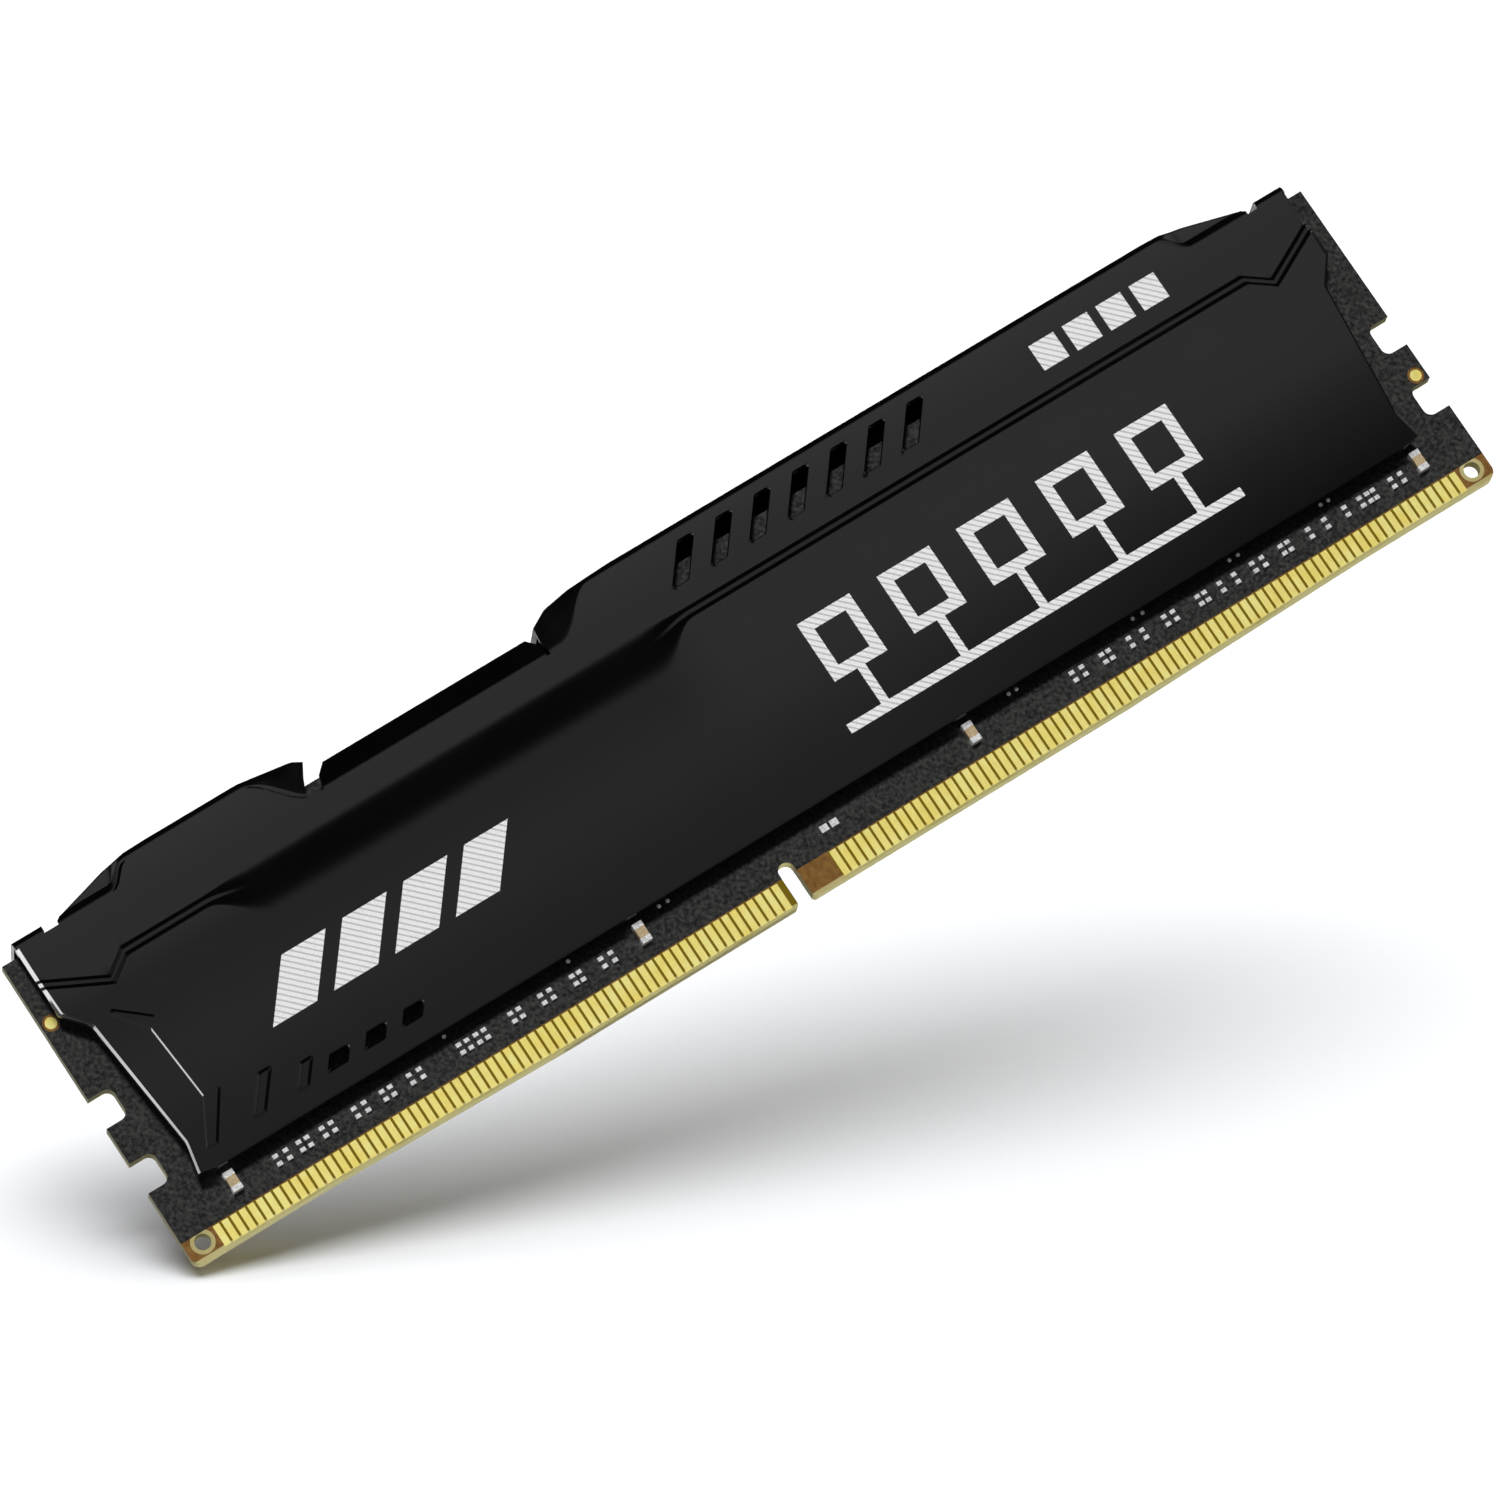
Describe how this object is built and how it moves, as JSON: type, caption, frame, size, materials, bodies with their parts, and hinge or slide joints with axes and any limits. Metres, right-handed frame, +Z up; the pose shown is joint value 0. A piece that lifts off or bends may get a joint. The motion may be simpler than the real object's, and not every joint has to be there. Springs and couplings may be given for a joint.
{
  "type": "desktop memory module",
  "caption": "Desktop memory module: card with a keyed gold contact edge, latch notches and memory packages between black stamped heat spreaders with slanted vents.",
  "frame": {"origin": "on the contact edge: half way along the board, half way through its thickness, at the lowest point of the edge's bow", "axes": "+X along the board, to the right when the side with contacts 145 to 288 is seen; that side faces -Y; +Z points up from the contact edge to the folded top edge"},
  "size_m": [0.1334, 0.0072, 0.034],
  "materials": {
    "laminate": "bare glass-fibre laminate, tan at the cut edges",
    "solder_mask": "black satin solder mask",
    "gold": "gold-plated copper",
    "package": "matt moulded epoxy",
    "thermal_pad": "soft grey gap pad",
    "spreader_paint": "satin black paint on stamped aluminium",
    "resistor_body": "black glazed ceramic",
    "tin": "tinned solder joint",
    "capacitor_body": "tan fired ceramic",
    "ink": "silver-white screen print"
  },
  "bodies": {
    "root": {"board": "laminate", "solder_mask_front": "solder_mask", "solder_mask_back": "solder_mask", "contacts_front_left": "gold", "contacts_front_right": "gold", "contacts_back_left": "gold", "contacts_back_right": "gold", "dram_front_1": "package", "dram_front_2": "package", "dram_front_3": "package", "dram_front_4": "package", "dram_front_5": "package", "dram_front_6": "package", "dram_front_7": "package", "dram_front_8": "package", "dram_back_1": "package", "dram_back_2": "package", "dram_back_3": "package", "dram_back_4": "package", "dram_back_5": "package", "dram_back_6": "package", "dram_back_7": "package", "dram_back_8": "package", "spd_eeprom": "package", "thermal_pad_front": "thermal_pad", "thermal_pad_back": "thermal_pad", "heat_spreader_front": "spreader_paint", "heat_spreader_back": "spreader_paint", "resistor_bodies_front": "resistor_body", "resistor_bodies_back": "resistor_body", "resistor_ends_front": "tin", "resistor_ends_back": "tin", "capacitor_bodies_front": "capacitor_body", "capacitor_bodies_back": "capacitor_body", "capacitor_ends_front": "tin", "capacitor_ends_back": "tin", "decoupling_bodies_front": "capacitor_body", "decoupling_bodies_back": "capacitor_body", "decoupling_ends_front": "tin", "decoupling_ends_back": "tin", "fiducials_front": "gold", "fiducials_back": "gold", "bare_pads_front": "tin", "test_pads_front": "tin", "printed_marks_front": "ink", "printed_marks_back": "ink"}
  },
  "joints": []
}
